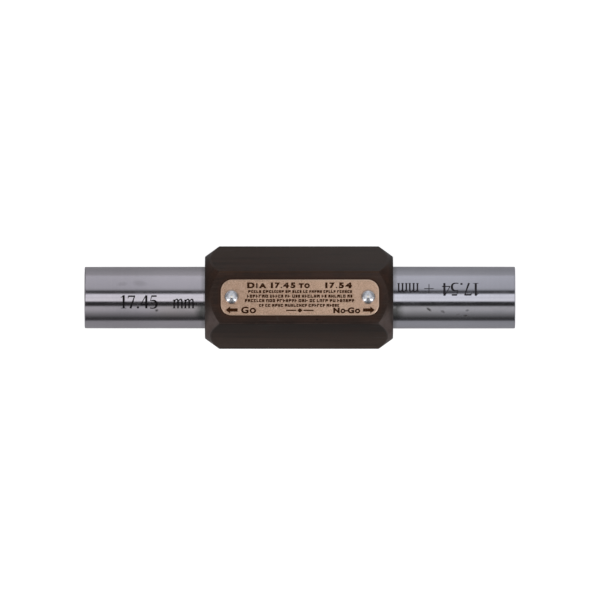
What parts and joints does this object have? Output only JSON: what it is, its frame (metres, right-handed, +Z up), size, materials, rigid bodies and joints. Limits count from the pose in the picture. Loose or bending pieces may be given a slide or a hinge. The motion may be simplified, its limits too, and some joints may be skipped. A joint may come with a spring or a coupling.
{
  "type": "limit pin gauge",
  "caption": "Double-ended limit pin gauge: hexagonal bar handle with a go pin and a slightly larger no-go pin, for checking the diameter of a bore.",
  "frame": {"origin": "middle of the handle's bottom flat, which the gauge rests on", "axes": "+Z up, out through the nameplate; +X along the bar towards the no-go pin"},
  "size_m": [0.1221, 0.029, 0.0276],
  "materials": {
    "blackened_steel": "chemically blackened, dull satin, brownish black",
    "ground_steel": "ground and lapped bright",
    "plate_bronze": "fine brushed, copper coloured",
    "plated_steel": "bright plated"
  },
  "bodies": {
    "root": {"handle": "blackened_steel", "go_pin": "ground_steel", "no_go_pin": "ground_steel", "nameplate": "plate_bronze", "go_end_drive_screw": "plated_steel", "no_go_end_drive_screw": "plated_steel"}
  },
  "joints": []
}
